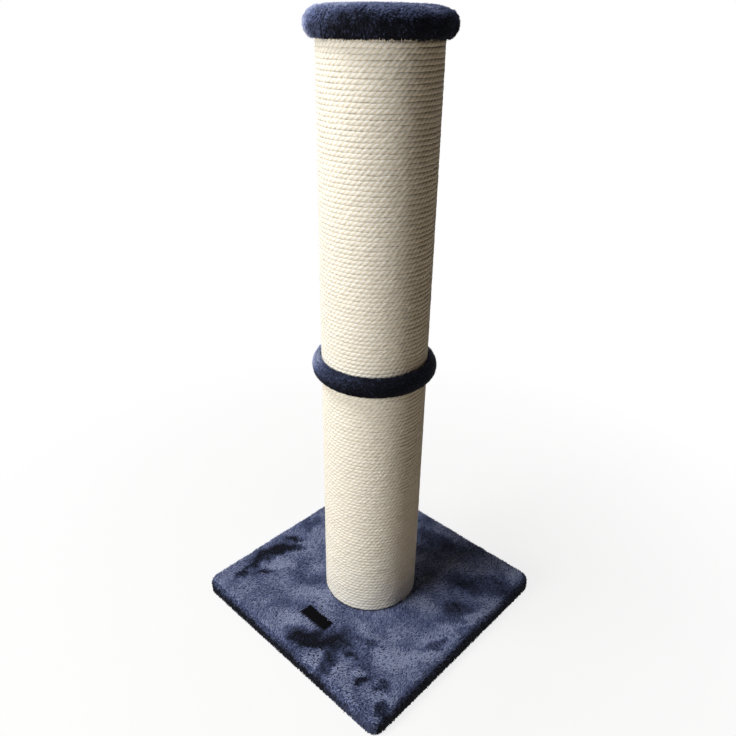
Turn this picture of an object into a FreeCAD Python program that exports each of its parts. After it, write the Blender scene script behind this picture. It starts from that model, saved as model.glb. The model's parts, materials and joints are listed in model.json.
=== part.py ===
import FreeCAD, Part
import math
import os
from FreeCAD import Vector

# A cat scratching post. Lengths are millimetres. The floor is z = 0, the post's axis is
# the z axis, and the label side of the base faces -y.

# Base: a square board wrapped in plush, with the plush turned under and stapled
BASE_SIDE = 396.0               # across the plush
BASE_CORNER_RADIUS = 16.0       # plan radius of a wrapped corner
BASE_EDGE_ROUND = 8.0           # plush rolls over the board's upper edge
BASE_FOOT_ROUND = 3.0           # plush rolls under the board's lower edge
BASE_SIDE_PLUSH = 6.0           # pulled over the board's sides
BASE_TOP_PLUSH = 7.0            # backing and standing pile
PRESSED_PLUSH = 2.0             # squeezed flat between two hard faces
BOARD_THICKNESS = 18.0
HEM_WIDTH = 34.0                # turned under, from the base's outside
HEM_MITRE_GAP = 1.0             # slit where two hems meet at a corner
HEM_STAPLES_PER_SIDE = 6

# Blank woven label on the base, in front of the post
LABEL_LENGTH = 54.0
LABEL_WIDTH = 20.0
LABEL_THICKNESS = 0.8
LABEL_CORNER_RADIUS = 1.5
LABEL_REACH = 124.5             # from the post's axis to the label's middle
LABEL_SINK = 1.2                # the stitching draws it into the pile

# Post: two equal cardboard tubes, plugged at both ends and wound with rope
TUBE_DIAMETER = 140.0
TUBE_WALL = 5.0
TUBE_LENGTH = 424.0
PLUG_THICKNESS = 20.0
PLUG_EDGE_CHAMFER = 1.0
ROPE_DIAMETER = 5.6             # 6 mm rope, drawn tight
TURN_GAP = 0.45                 # between neighbouring turns
ROPE_BUTT_GAP = 0.9             # between two lengths of rope laid end to end
GLUE_LINE = 0.1                 # under the rope
MOST_TURNS = 24                 # in one length of rope
NAILS_PER_PLUG = 4
NAIL_DIAMETER = 1.8
NAIL_LENGTH = 22.0

# Threaded fasteners
BOLT_DIAMETER = 8.0
BOLT_RUNOUT = 5.0               # thread beyond the tee nut's flange
BOLT_HEAD_ACROSS_FLATS = 13.0
BOLT_HEAD_HEIGHT = 5.3
BOLT_HEAD_RECESS = 1.7          # head above the board's underside
THREAD_CHAMFER = 1.0
WASHER_DIAMETER = 24.0
WASHER_THICKNESS = 2.0
TEE_BARREL_WALL = 1.1
TEE_BARREL_LENGTH = 11.0
TEE_FLANGE_DIAMETER = 22.0
TEE_FLANGE_THICKNESS = 1.6
TEE_PRONGS = 4
TEE_PRONG_WIDTH = 3.0
TEE_PRONG_LENGTH = 7.0
CAP_BOLT_HEAD_DIAMETER = 20.0
CAP_BOLT_HEAD_HEIGHT = 4.4
CAP_BOLT_NECK_LENGTH = 5.0      # square neck that bites into the cap board

# Staples
STAPLE_CROWN = 12.0
STAPLE_LEG = 9.0
STAPLE_WIDTH = 1.3
STAPLE_GAUGE = 0.6
STAPLE_SINK = 0.5               # crown pressed into the cloth

# Collar: a plush-covered foam roll round the joint
COLLAR_HEIGHT = 30.0
COLLAR_DEPTH = 14.0             # stands out from the rope
COLLAR_PLUSH = 4.0
COLLAR_BACKING = 1.0            # cloth against the rope

# Cap: a padded board in a plush cover with a fat rolled rim
CAP_BOARD_DIAMETER = 168.0
CAP_BOARD_THICKNESS = 15.0
CAP_PAD_THICKNESS = 8.0         # at the middle
CAP_PLUSH = 5.0                 # over the pad
CAP_RIM_PLUSH = 7.0             # round the board's edge
CAP_RIM_RADIUS = 20.5           # of the rolled rim's section
CAP_CROWN = 2.0                 # the middle stands above the rim
CAP_HEM_REACH = 32.0            # hem under the board, from its edge
CAP_STAPLES = 12

# Fits
HOLE_CLEARANCE = 0.5            # round a bolt in a drilled hole
PRESS_CLEARANCE = 0.1           # round a piece driven or glued into its seat
SOFT_CLEARANCE = 0.3            # between cloth or foam and what it wraps
PILE_CLEARANCE = 1.0            # pile standing round the post's foot and head
OVERRUN = 1.0                   # of a cutting tool past the face it cuts
SAME_LEVEL = 1e-6

# Levels and radii that follow from these
tube_radius = TUBE_DIAMETER / 2
tube_bore_radius = tube_radius - TUBE_WALL
plug_radius = tube_bore_radius - PRESS_CLEARANCE
rope_radius = ROPE_DIAMETER / 2
rope_line_radius = tube_radius + GLUE_LINE + rope_radius
rope_girth = 2 * math.pi * rope_line_radius
rope_pitch = ROPE_DIAMETER + TURN_GAP
post_radius = rope_line_radius + rope_radius
bolt_radius = BOLT_DIAMETER / 2
tee_barrel_radius = bolt_radius + TEE_BARREL_WALL

board_low = PRESSED_PLUSH
board_high = board_low + BOARD_THICKNESS
base_high = board_high + BASE_TOP_PLUSH
foot_level = board_high + PRESSED_PLUSH
joint_level = foot_level + TUBE_LENGTH
head_level = joint_level + TUBE_LENGTH
cap_board_low = head_level + PRESSED_PLUSH
cap_board_high = cap_board_low + CAP_BOARD_THICKNESS
cap_high = cap_board_high + CAP_PAD_THICKNESS + CAP_PLUSH
thread_reach = PLUG_THICKNESS + TEE_FLANGE_THICKNESS + BOLT_RUNOUT


def cylinder(radius, low, high):
    return Part.makeCylinder(radius, high - low, Vector(0, 0, low))


def block(length, width, low, high):
    """Upright block, centred on the z axis."""
    return Part.makeBox(length, width, high - low, Vector(-length / 2, -width / 2, low))


def turned(shape, degrees):
    copy = shape.copy()
    copy.rotate(Vector(), Vector(0, 0, 1), degrees)
    return copy


def moved(shape, x, y, z):
    copy = shape.copy()
    copy.translate(Vector(x, y, z))
    return copy


def ring_of(shape, count):
    """The shape and its copies, evenly turned about the z axis."""
    return [turned(shape, index * 360 / count) for index in range(count)]


def spun(outline):
    """Solid of revolution about the z axis from edges drawn in the xz plane."""
    face = Part.Face(Part.Wire(outline))
    return face.revolve(Vector(), Vector(0, 0, 1), 360)


def point(radius, level):
    return Vector(radius, 0, level)


def line(start, end):
    return Part.LineSegment(start, end).toShape()


def arc(start, middle, end):
    return Part.Arc(start, middle, end).toShape()


def level_edges(shape, level):
    """Edges that lie wholly at one level."""
    return [edge for edge in shape.Edges
            if all(abs(vertex.Point.z - level) < SAME_LEVEL for vertex in edge.Vertexes)]


def rounded_slab(length, width, corner_radius, low, high):
    """Upright block with its four standing edges rounded."""
    slab = block(length, width, low, high)
    uprights = [edge for edge in slab.Edges
                if abs(edge.Vertexes[0].Point.z - edge.Vertexes[1].Point.z) > SAME_LEVEL]
    return slab.makeFillet(corner_radius, uprights)


def threaded_rod(low, high):
    """Plain rod at the thread's outside, chamfered at both ends."""
    rod = cylinder(bolt_radius, low, high)
    return rod.makeChamfer(THREAD_CHAMFER, level_edges(rod, low) + level_edges(rod, high))


def staple_and_pocket():
    """A staple, crown down with its legs up, and the pocket that it presses for itself."""
    crown_high = STAPLE_SINK + STAPLE_GAUGE
    leg_high = STAPLE_SINK + STAPLE_LEG
    leg_step = (STAPLE_CROWN - STAPLE_GAUGE) / 2
    staple = block(STAPLE_CROWN, STAPLE_WIDTH, STAPLE_SINK, crown_high)
    leg = block(STAPLE_GAUGE, STAPLE_WIDTH, STAPLE_SINK, leg_high)
    room = 2 * PRESS_CLEARANCE
    pocket = block(STAPLE_CROWN + room, STAPLE_WIDTH + room, -OVERRUN, crown_high + PRESS_CLEARANCE)
    leg_hole = block(STAPLE_GAUGE + room, STAPLE_WIDTH + room, 0, leg_high + PRESS_CLEARANCE)
    for step in (-leg_step, leg_step):
        staple = staple.fuse(moved(leg, step, 0, 0))
        pocket = pocket.fuse(moved(leg_hole, step, 0, 0))
    return staple.removeSplitter(), pocket.removeSplitter()


def base_nodes():
    board_side = BASE_SIDE - 2 * BASE_SIDE_PLUSH
    board_corner = BASE_CORNER_RADIUS - BASE_SIDE_PLUSH
    window_side = BASE_SIDE - 2 * HEM_WIDTH

    # The staples stand in a row along the middle of each hem
    staple, pocket = staple_and_pocket()
    row_reach = BASE_SIDE / 2 - (HEM_WIDTH + BASE_SIDE_PLUSH) / 2
    staple_step = window_side / HEM_STAPLES_PER_SIDE
    row = [(index + 0.5) * staple_step - window_side / 2 for index in range(HEM_STAPLES_PER_SIDE)]
    staples = []
    pockets = []
    for place in row:
        staples += ring_of(moved(staple, place, -row_reach, 0), 4)
        pockets += ring_of(moved(pocket, place, -row_reach, 0), 4)

    # The bolt's washer and head stand in a counterbore in the board's underside
    washer_low = board_low + BOLT_HEAD_RECESS + BOLT_HEAD_HEIGHT
    washer_high = washer_low + WASHER_THICKNESS
    bolt_hole = cylinder(bolt_radius + HOLE_CLEARANCE, board_low, foot_level + OVERRUN)
    counterbore = cylinder(WASHER_DIAMETER / 2 + HOLE_CLEARANCE, board_low - OVERRUN, washer_high)
    board = rounded_slab(board_side, board_side, board_corner, board_low, board_high)
    board = board.cut([counterbore, bolt_hole] + pockets)

    washer = cylinder(WASHER_DIAMETER / 2, washer_low, washer_high)
    washer = washer.cut(cylinder(bolt_radius + HOLE_CLEARANCE, washer_low, washer_high))

    head_low = washer_low - BOLT_HEAD_HEIGHT
    corner = Vector(BOLT_HEAD_ACROSS_FLATS / 2 / math.cos(math.pi / 6), 0, head_low)
    corners = [FreeCAD.Rotation(Vector(0, 0, 1), 60 * side).multVec(corner) for side in range(7)]
    head = Part.Face(Part.makePolygon(corners)).extrude(Vector(0, 0, BOLT_HEAD_HEIGHT))
    bolt = head.fuse(threaded_rod(head_low, foot_level + thread_reach)).removeSplitter()

    # The cover wraps the board, is pressed flat under the post, and leaves a window below
    cover = rounded_slab(BASE_SIDE, BASE_SIDE, BASE_CORNER_RADIUS, 0, base_high)
    cover = cover.makeFillet(BASE_EDGE_ROUND, level_edges(cover, base_high))
    cover = cover.makeFillet(BASE_FOOT_ROUND, level_edges(cover, 0))
    room_side = board_side + 2 * PRESS_CLEARANCE
    room = rounded_slab(room_side, room_side, board_corner + PRESS_CLEARANCE, board_low, board_high)
    window = block(window_side, window_side, -OVERRUN, board_low)
    seat = cylinder(post_radius + PILE_CLEARANCE, foot_level, base_high + OVERRUN)
    mitre_start = window_side / math.sqrt(2) - OVERRUN
    mitre_end = (BASE_SIDE - 2 * BASE_CORNER_RADIUS) / math.sqrt(2)
    mitre = block(mitre_end - mitre_start, HEM_MITRE_GAP, -OVERRUN, board_low)
    mitre = moved(mitre, (mitre_start + mitre_end) / 2, 0, 0)
    mitres = ring_of(turned(mitre, 45), 4)

    # The label is sewn down, so that it sinks a little into the pile
    label_low = base_high - LABEL_SINK
    label = rounded_slab(LABEL_LENGTH, LABEL_WIDTH, LABEL_CORNER_RADIUS,
                         label_low, label_low + LABEL_THICKNESS)
    label = moved(label, 0, -LABEL_REACH, 0)
    dent = block(LABEL_LENGTH + 2 * SOFT_CLEARANCE, LABEL_WIDTH + 2 * SOFT_CLEARANCE,
                 label_low, base_high + OVERRUN)
    dent = moved(dent, 0, -LABEL_REACH, 0)
    cover = cover.cut([room, window, seat, bolt_hole, dent] + mitres + pockets)

    return {
        "base_board": board,
        "base_plush_cover": cover,
        "base_hem_staples": Part.makeCompound(staples),
        "base_label": label,
        "base_bolt": bolt,
        "base_washer": washer,
    }


def tee_nut_body(clearance):
    """Outside of a tee nut whose flange lies on z = 0, grown by a clearance below it."""
    flange_radius = TEE_FLANGE_DIAMETER / 2
    flange = cylinder(flange_radius, 0, TEE_FLANGE_THICKNESS)
    barrel = cylinder(tee_barrel_radius + clearance, -TEE_BARREL_LENGTH - clearance, 0)
    prong = block(TEE_FLANGE_THICKNESS + 2 * clearance, TEE_PRONG_WIDTH + 2 * clearance,
                  -TEE_PRONG_LENGTH - clearance, TEE_FLANGE_THICKNESS)
    prong = moved(prong, flange_radius - TEE_FLANGE_THICKNESS, 0, 0)
    return flange.multiFuse([barrel] + ring_of(prong, TEE_PRONGS)).removeSplitter()


def helix_point(turn):
    """Middle of the rope after a number of turns from z = 0."""
    angle = 2 * math.pi * turn
    across = Vector(math.cos(angle), math.sin(angle), 0) * rope_line_radius
    return across + Vector(0, 0, rope_pitch * turn)


def helix_direction(turn):
    angle = 2 * math.pi * turn
    along = Vector(-math.sin(angle), math.cos(angle), 0) * rope_girth
    return (along + Vector(0, 0, rope_pitch)).normalize()


def tangent_arc(start, direction, end):
    """Arc from start, leaving along direction, to end."""
    chord = end - start
    across = direction * chord.dot(chord) / (2 * chord.dot(direction)) - chord / 2
    half_angle = math.atan2(across.Length, chord.Length / 2)
    rise = across.normalize() * math.tan(half_angle / 2) * chord.Length / 2
    return arc(start, start + chord / 2 + rise, end)


def biarc(first_turn, last_turn):
    """Two tangent arcs that follow the helix between two turns."""
    start = helix_point(first_turn)
    end = helix_point(last_turn)
    leaving = helix_direction(first_turn)
    arriving = helix_direction(last_turn)
    chord = end - start
    spread = 2 * (1 - leaving.dot(arriving))
    slope = chord.dot(leaving + arriving)
    reach = (math.sqrt(slope ** 2 + spread * chord.dot(chord)) - slope) / spread
    middle = (start + end + (leaving - arriving) * reach) / 2
    second = tangent_arc(end, arriving * -1, middle)
    return [tangent_arc(start, leaving, middle), second]


def rope_length(first_turn, last_turn):
    """One unbroken length of rope, with its ends straight for one rope diameter."""
    straight_turns = ROPE_DIAMETER / rope_girth
    first = first_turn + straight_turns
    last = last_turn - straight_turns
    steps = math.ceil(2 * (last - first))
    step = (last - first) / steps
    entry = helix_point(first) - helix_direction(first) * ROPE_DIAMETER
    leave = helix_point(last) + helix_direction(last) * ROPE_DIAMETER
    path = [line(entry, helix_point(first))]
    for index in range(steps):
        path += biarc(first + index * step, first + (index + 1) * step)
    path.append(line(helix_point(last), leave))
    end_circle = Part.Circle(entry, helix_direction(first), rope_radius).toShape()
    route = Part.Wire(path)
    rope = route.makePipeShell([Part.Wire(end_circle)], True, False)
    report_rope(route, rope, last - first)
    return rope


def report_rope(route, rope, turns):
    """Print the least gap between neighbouring turns, measured on points along the rope."""
    per_turn = 48
    points = route.discretize(Number=math.ceil(turns * per_turn))
    least = min(points[index].distanceToPoint(other)
                for index in range(len(points))
                for other in points[index + per_turn // 2:index + 2 * per_turn])
    filled = rope.Volume / (math.pi * rope_radius ** 2 * route.Length)
    print(f"rope: {turns:.1f} turns, {route.Length / 1000:.2f} m, least gap to itself "
          f"{least - ROPE_DIAMETER:.2f} mm, volume {filled:.3f} of section times length")


def sisal_rope():
    """The rope on one tube: lengths of as many turns as one may have, laid end to end."""
    turns = (TUBE_LENGTH - ROPE_DIAMETER) / rope_pitch
    lengths = math.ceil(turns / MOST_TURNS)
    per_length = turns / lengths
    butt_turns = ROPE_BUTT_GAP / rope_girth
    first = rope_length(butt_turns / 2, per_length - butt_turns / 2)
    rise = per_length * rope_pitch
    ropes = [moved(turned(first, 360 * per_length * index), 0, 0, rope_radius + rise * index)
             for index in range(lengths)]
    return Part.makeCompound(ropes)


def post_section():
    """Pieces of one post section, standing on z = 0."""
    nail = Part.makeCylinder(NAIL_DIAMETER / 2, NAIL_LENGTH, Vector(), Vector(-1, 0, 0))
    nail = moved(nail, tube_radius, 0, PLUG_THICKNESS / 2)
    nail_hole = Part.makeCylinder(NAIL_DIAMETER / 2 + PRESS_CLEARANCE, NAIL_LENGTH + OVERRUN,
                                  Vector(), Vector(-1, 0, 0))
    nail_hole = moved(nail_hole, tube_radius + OVERRUN - PRESS_CLEARANCE, 0, PLUG_THICKNESS / 2)

    def at_head(shape):
        copy = shape.copy()
        copy.rotate(Vector(0, 0, TUBE_LENGTH / 2), Vector(1, 0, 0), 180)
        return copy

    foot_nails = ring_of(nail, NAILS_PER_PLUG)
    foot_holes = ring_of(nail_hole, NAILS_PER_PLUG)
    head_nails = [at_head(shape) for shape in foot_nails]
    head_holes = [at_head(shape) for shape in foot_holes]

    tube = cylinder(tube_radius, 0, TUBE_LENGTH)
    tube = tube.cut([cylinder(tube_bore_radius, 0, TUBE_LENGTH)] + foot_holes + head_holes)

    plug = cylinder(plug_radius, 0, PLUG_THICKNESS)
    plug = plug.makeChamfer(PLUG_EDGE_CHAMFER, level_edges(plug, PLUG_THICKNESS))
    drilled = cylinder(tee_barrel_radius + PRESS_CLEARANCE, -OVERRUN, PLUG_THICKNESS + OVERRUN)
    nut_room = moved(tee_nut_body(PRESS_CLEARANCE), 0, 0, PLUG_THICKNESS)
    plug = plug.cut([drilled, nut_room] + foot_holes)

    nut_bore = cylinder(bolt_radius + PRESS_CLEARANCE, 0, PLUG_THICKNESS + TEE_FLANGE_THICKNESS)
    nut = moved(tee_nut_body(0), 0, 0, PLUG_THICKNESS).cut(nut_bore)

    return {
        "tube": tube,
        "foot_plug": plug,
        "head_plug": at_head(plug),
        "tee_nuts": Part.makeCompound([nut, at_head(nut)]),
        "plug_nails": Part.makeCompound(foot_nails + head_nails),
        "sisal_rope": sisal_rope(),
    }


def half_round_ring(back_radius, half_height, depth):
    """Ring with a flat back on the post and a rounded front, at the joint."""
    low = point(back_radius, joint_level - half_height)
    high = point(back_radius, joint_level + half_height)
    front = point(back_radius + depth, joint_level)
    return spun([arc(low, front, high), line(high, low)])


def collar_nodes():
    back = post_radius + SOFT_CLEARANCE
    core_height = COLLAR_HEIGHT / 2 - COLLAR_PLUSH
    core_depth = COLLAR_DEPTH - COLLAR_PLUSH - COLLAR_BACKING
    core_back = back + COLLAR_BACKING
    core = half_round_ring(core_back, core_height, core_depth)
    room = half_round_ring(core_back - PRESS_CLEARANCE, core_height + PRESS_CLEARANCE,
                           core_depth + 2 * PRESS_CLEARANCE)
    cover = half_round_ring(back, COLLAR_HEIGHT / 2, COLLAR_DEPTH).cut(room)
    stud = threaded_rod(joint_level - thread_reach, joint_level + thread_reach)
    return {"joint_stud": stud, "collar_core": core, "collar_plush_cover": cover}


def cap_skin(inset):
    """Crown and rim of the cap, set in by a thickness: apex, blend point and rim circle."""
    rim_radius = CAP_RIM_RADIUS - inset
    rim_line = CAP_BOARD_DIAMETER / 2 + CAP_RIM_PLUSH - CAP_RIM_RADIUS
    rim_level = cap_high - CAP_CROWN - CAP_RIM_RADIUS
    rise = CAP_RIM_RADIUS + CAP_CROWN
    crown_radius = (rim_line ** 2 + rise ** 2 - CAP_RIM_RADIUS ** 2) / (2 * CAP_CROWN)
    lean = math.asin(rim_line / (crown_radius - CAP_RIM_RADIUS))
    centre = point(rim_line, rim_level)
    crown_centre = cap_high - crown_radius

    def crown(share):
        angle = lean * share
        reach = crown_radius - inset
        return point(reach * math.sin(angle), crown_centre + reach * math.cos(angle))

    def rim(angle):
        return centre + point(math.cos(angle), math.sin(angle)) * rim_radius

    return crown, rim, math.pi / 2 - lean


def cap_nodes():
    board_radius = CAP_BOARD_DIAMETER / 2
    rim_level = cap_high - CAP_CROWN - CAP_RIM_RADIUS
    rim_line = board_radius + CAP_RIM_PLUSH - CAP_RIM_RADIUS
    hem_radius = board_radius - CAP_HEM_REACH

    staple, pocket = staple_and_pocket()
    staple_ring = (hem_radius + tube_bore_radius) / 2
    staples = ring_of(moved(staple, 0, staple_ring, head_level), CAP_STAPLES)
    pockets = ring_of(moved(pocket, 0, staple_ring, head_level), CAP_STAPLES)

    # A coach bolt, whose square neck bites into the board, screws the cap to the post
    neck_low = cap_board_high - CAP_BOLT_NECK_LENGTH
    neck = block(BOLT_DIAMETER, BOLT_DIAMETER, neck_low, cap_board_high)
    neck_room = block(BOLT_DIAMETER + 2 * PRESS_CLEARANCE, BOLT_DIAMETER + 2 * PRESS_CLEARANCE,
                      neck_low, cap_board_high + OVERRUN)
    rod = threaded_rod(head_level - thread_reach, cap_board_high)
    head_radius = CAP_BOLT_HEAD_DIAMETER / 2
    dome_radius = (head_radius ** 2 + CAP_BOLT_HEAD_HEIGHT ** 2) / (2 * CAP_BOLT_HEAD_HEIGHT)
    head_top = cap_board_high + CAP_BOLT_HEAD_HEIGHT
    dome = Part.makeSphere(dome_radius, Vector(0, 0, head_top - dome_radius))
    head = dome.common(cylinder(head_radius, cap_board_high, head_top + OVERRUN))
    bolt = head.multiFuse([neck, rod]).removeSplitter()

    board = cylinder(board_radius, cap_board_low, cap_board_high)
    hole = cylinder(bolt_radius + PRESS_CLEARANCE, cap_board_low - OVERRUN, cap_board_high)
    board = board.cut([hole, neck_room] + pockets)

    # The pad fills the cover above the board, and has a pocket for the bolt's head
    crown, rim, blend = cap_skin(CAP_PLUSH + SOFT_CLEARANCE)
    rim_room = CAP_RIM_RADIUS - CAP_PLUSH - SOFT_CLEARANCE
    board_angle = math.asin((cap_board_high - rim_level) / rim_room)
    pad = spun([
        line(point(0, cap_board_high), rim(board_angle)),
        arc(rim(board_angle), rim((board_angle + blend) / 2), rim(blend)),
        arc(crown(1), crown(0.5), crown(0)),
        line(crown(0), point(0, cap_board_high)),
    ])
    head_room = cylinder(head_radius + SOFT_CLEARANCE, cap_board_high - OVERRUN,
                         head_top + SOFT_CLEARANCE)
    pad = pad.cut(head_room)

    # The cover rolls over the rim, down beside the post's head, and under the board
    crown, rim, blend = cap_skin(0)
    skirt_radius = post_radius + PILE_CLEARANCE
    skirt_angle = -math.acos((skirt_radius - rim_line) / CAP_RIM_RADIUS)
    outside = [
        line(point(0, head_level), point(skirt_radius, head_level)),
        line(point(skirt_radius, head_level), rim(skirt_angle)),
        arc(rim(skirt_angle), rim((skirt_angle + blend) / 2), rim(blend)),
        arc(crown(1), crown(0.5), crown(0)),
        line(crown(0), point(0, head_level)),
    ]
    board_room = cylinder(board_radius + SOFT_CLEARANCE, cap_board_low, cap_board_high)
    crown, rim, blend = cap_skin(CAP_PLUSH)
    room_angle = math.asin((cap_board_high - rim_level) / (CAP_RIM_RADIUS - CAP_PLUSH))
    pad_room = spun([
        line(point(0, cap_board_high), rim(room_angle)),
        arc(rim(room_angle), rim((room_angle + blend) / 2), rim(blend)),
        arc(crown(1), crown(0.5), crown(0)),
        line(crown(0), point(0, cap_board_high)),
    ])
    hem_window = cylinder(hem_radius, head_level - OVERRUN, cap_board_low)
    cover = spun(outside).cut([board_room, pad_room, hem_window] + pockets)

    return {
        "cap_board": board,
        "cap_bolt": bolt,
        "cap_pad": pad,
        "cap_plush_cover": cover,
        "cap_hem_staples": Part.makeCompound(staples),
    }


def all_nodes():
    nodes = base_nodes()
    section = post_section()
    for name, level in (("lower", foot_level), ("upper", joint_level)):
        for piece, shape in section.items():
            nodes[f"{name}_{piece}"] = moved(shape, 0, 0, level)
    nodes.update(collar_nodes())
    nodes.update(cap_nodes())
    return nodes


os.makedirs("parts", exist_ok=True)
for node_name, node_shape in all_nodes().items():
    node_shape.exportStep(f"parts/{node_name}.step")
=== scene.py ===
import json
import math

import bmesh
import bpy
import numpy as np
from bpy.props import FloatProperty, FloatVectorProperty, IntProperty, PointerProperty
from mathutils import Matrix, Vector, noise


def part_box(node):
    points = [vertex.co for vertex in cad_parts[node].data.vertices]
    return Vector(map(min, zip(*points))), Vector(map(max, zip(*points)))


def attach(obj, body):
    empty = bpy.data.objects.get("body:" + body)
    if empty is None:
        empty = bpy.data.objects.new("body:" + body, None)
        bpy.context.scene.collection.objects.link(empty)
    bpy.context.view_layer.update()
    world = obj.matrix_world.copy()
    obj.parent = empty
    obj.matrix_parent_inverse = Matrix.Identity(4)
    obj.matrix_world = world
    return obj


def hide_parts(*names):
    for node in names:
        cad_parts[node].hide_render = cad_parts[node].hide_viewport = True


bl_info = {
    "name": "Cat scratching post",
    "version": (1, 0, 0),
    "blender": (4, 5, 0),
    "location": "View3D > Sidebar > Scratcher",
    "description": "Winds, covers and finishes a cat scratching post on its frame",
    "category": "Object",
}

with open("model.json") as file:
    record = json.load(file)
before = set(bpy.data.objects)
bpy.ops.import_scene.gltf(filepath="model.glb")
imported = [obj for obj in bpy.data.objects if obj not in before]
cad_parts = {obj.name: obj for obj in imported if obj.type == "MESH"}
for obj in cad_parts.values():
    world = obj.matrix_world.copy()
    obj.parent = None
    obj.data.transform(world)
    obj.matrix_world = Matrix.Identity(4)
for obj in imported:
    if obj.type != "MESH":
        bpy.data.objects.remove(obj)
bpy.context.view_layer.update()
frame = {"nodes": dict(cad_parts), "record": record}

MM = 0.001
BODY = "root"
BAKE_MAP = "OFBake"

# Places closer than this count as one
NEAR = 0.01 * MM

# Seed of the noise that stirs rope, pile and cloth. Without one it differs from run to run
DRIFT_SEED = 5


def linear(code):
    """Linear RGBA of an sRGB hex code."""
    shares = [int(code[place:place + 2], 16) / 255 for place in (1, 3, 5)]
    values = [share / 12.92 if share <= 0.04045 else ((share + 0.055) / 1.055) ** 2.4
              for share in shares]
    return (*values, 1.0)


def size_of(name, description, millimetres):
    """Length property with a default in millimetres."""
    return FloatProperty(name=name, description=description, default=millimetres * MM,
                         unit="LENGTH", precision=5)


def angle_of(name, description, degrees):
    """Angle property with a default in degrees."""
    return FloatProperty(name=name, description=description, default=math.radians(degrees),
                         subtype="ANGLE")


def colour_of(name, description, code):
    """Colour property with an sRGB hex default."""
    return FloatVectorProperty(name=name, description=description, subtype="COLOR", size=4,
                               min=0.0, max=1.0, default=linear(code))


class RopeSettings(bpy.types.PropertyGroup):
    """Sisal rope on the two tubes"""

    diameter: size_of("Diameter", "Rope across its strands", 6.15)
    corner: size_of("Corner", "Roundness that is left where turns press together", 0.35)
    pitch: size_of("Pitch", "Rise of one turn", 6.05)
    lay: size_of("Lay", "Length in which a strand goes once round the rope", 21)
    valley: size_of("Valley", "Depth of the grooves between strands", 0.42)
    sway: size_of("Sway", "How far a turn strays from its place", 0.2)
    lengths: IntProperty(name="Lengths", description="Meshes that hold the rope of one tube",
                         default=3, min=1)
    steps: IntProperty(name="Steps", description="Sections of rope in one turn", default=250)
    pale: colour_of("Pale fibre", "Clean sisal", "#f6f4ec")
    straw: colour_of("Straw fibre", "Yellower sisal", "#efebdf")
    # The groove colour is painted shade, laid where the strands dip between their crests
    groove: colour_of("Groove", "Sisal down between strands and turns", "#d8ccae")


class PlushSettings(bpy.types.PropertyGroup):
    """Plush of the base, collar and cap"""

    pile: size_of("Pile", "Length of a tuft", 5.2)
    tuft: size_of("Tuft", "Width of a tuft at its root", 2.1)
    spacing: size_of("Spacing", "Side of the square that one tuft fills", 1.75)
    standing: size_of("Standing", "Height of the pile above the cloth", 1.8)
    cloth: size_of("Cloth", "Thickness of the backing cloth", 1.6)
    hem: size_of("Hem", "Cloth turned under the base", 34)
    heading: angle_of("Heading", "Way that the pile of the base lies", 70)
    # The light colour also serves as painted light, and the dark colour as painted shade, through the
    # pile's shade attribute
    light: colour_of("Light pile", "Pile that lies away", "#c4ceef")
    middle: colour_of("Middle pile", "Dyed colour", "#657098")
    dark: colour_of("Dark pile", "Roots and pile brushed up", "#090a0f")


class LabelSettings(bpy.types.PropertyGroup):
    """Blank woven label on the base"""

    thickness: size_of("Thickness", "Woven ribbon", 0.6)
    stitch: size_of("Stitch", "Length of one stitch", 2.2)
    thread: size_of("Thread", "Thickness of the sewing thread", 0.45)
    inset: size_of("Inset", "Stitches from the label's edge", 1.3)
    ribbon: colour_of("Ribbon", "Woven polyester", "#08080b")
    sewing: colour_of("Sewing thread", "Polyester thread", "#24262e")


class StageSettings(bpy.types.PropertyGroup):
    """Camera, lamps and floor"""

    reach: size_of("Reach", "Camera from the post's axis", 862)
    height: size_of("Height", "Camera above the floor", 888.1)
    place: angle_of("Place", "Where the camera stands round the post", 42.83)
    heading: angle_of("Heading", "Compass turn of the camera", 43.43)
    dip: angle_of("Dip", "Camera's tilt below level", 27.76)
    roll: angle_of("Roll", "Camera's turn about its own line", 0.8)
    lens: FloatProperty(name="Lens", description="Focal length in millimetres", default=32.86)
    key: FloatProperty(name="Key", description="Low light on a face that looks at it", default=0.67)
    high: FloatProperty(name="High", description="High light on a face that looks at it",
                        default=0.6)
    back: FloatProperty(name="Back", description="Low light on the side that the camera doesn't see",
                        default=0.32)
    sky: FloatProperty(name="Sky", description="Light from all round", default=0.028)
    sky_tint: colour_of("Sky tint", "Colour of the light from all round", "#ffd8a4")
    paper: colour_of("Paper", "Floor", "#f4f3f0")
    bounce: colour_of("Bounce", "Floor's colour in the light that it throws back", "#e1d1bc")


SETTINGS = {"rope": RopeSettings, "plush": PlushSettings, "label": LabelSettings,
            "stage": StageSettings}


def settings(group):
    return getattr(bpy.context.scene, f"scratcher_{group}")


# Helpers for objects and meshes


def clear_selection():
    bpy.ops.object.select_all(action="DESELECT")


def only(thing):
    """Make a thing the one selected, active object."""
    clear_selection()
    thing.select_set(True)
    bpy.context.view_layer.objects.active = thing


def new_piece(name, scale=(1, 1, 1)):
    """Name the primitive just added, scale it, and move its place into its mesh."""
    thing = bpy.context.object
    thing.name = name
    thing.data.name = name
    thing.scale = scale
    bpy.ops.object.transform_apply(location=True, rotation=True, scale=True)
    return thing


def finish_modifier(thing, kind, **values):
    """Add a modifier, set it and apply it."""
    only(thing)
    modifier = thing.modifiers.new(kind.title(), kind)
    for name, value in values.items():
        setattr(modifier, name, value)
    bpy.ops.object.modifier_apply(modifier=modifier.name)


def face_outwards():
    """In edit mode, point all faces outwards."""
    bpy.ops.mesh.select_all(action="SELECT")
    bpy.ops.mesh.normals_make_consistent(inside=False)


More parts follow.
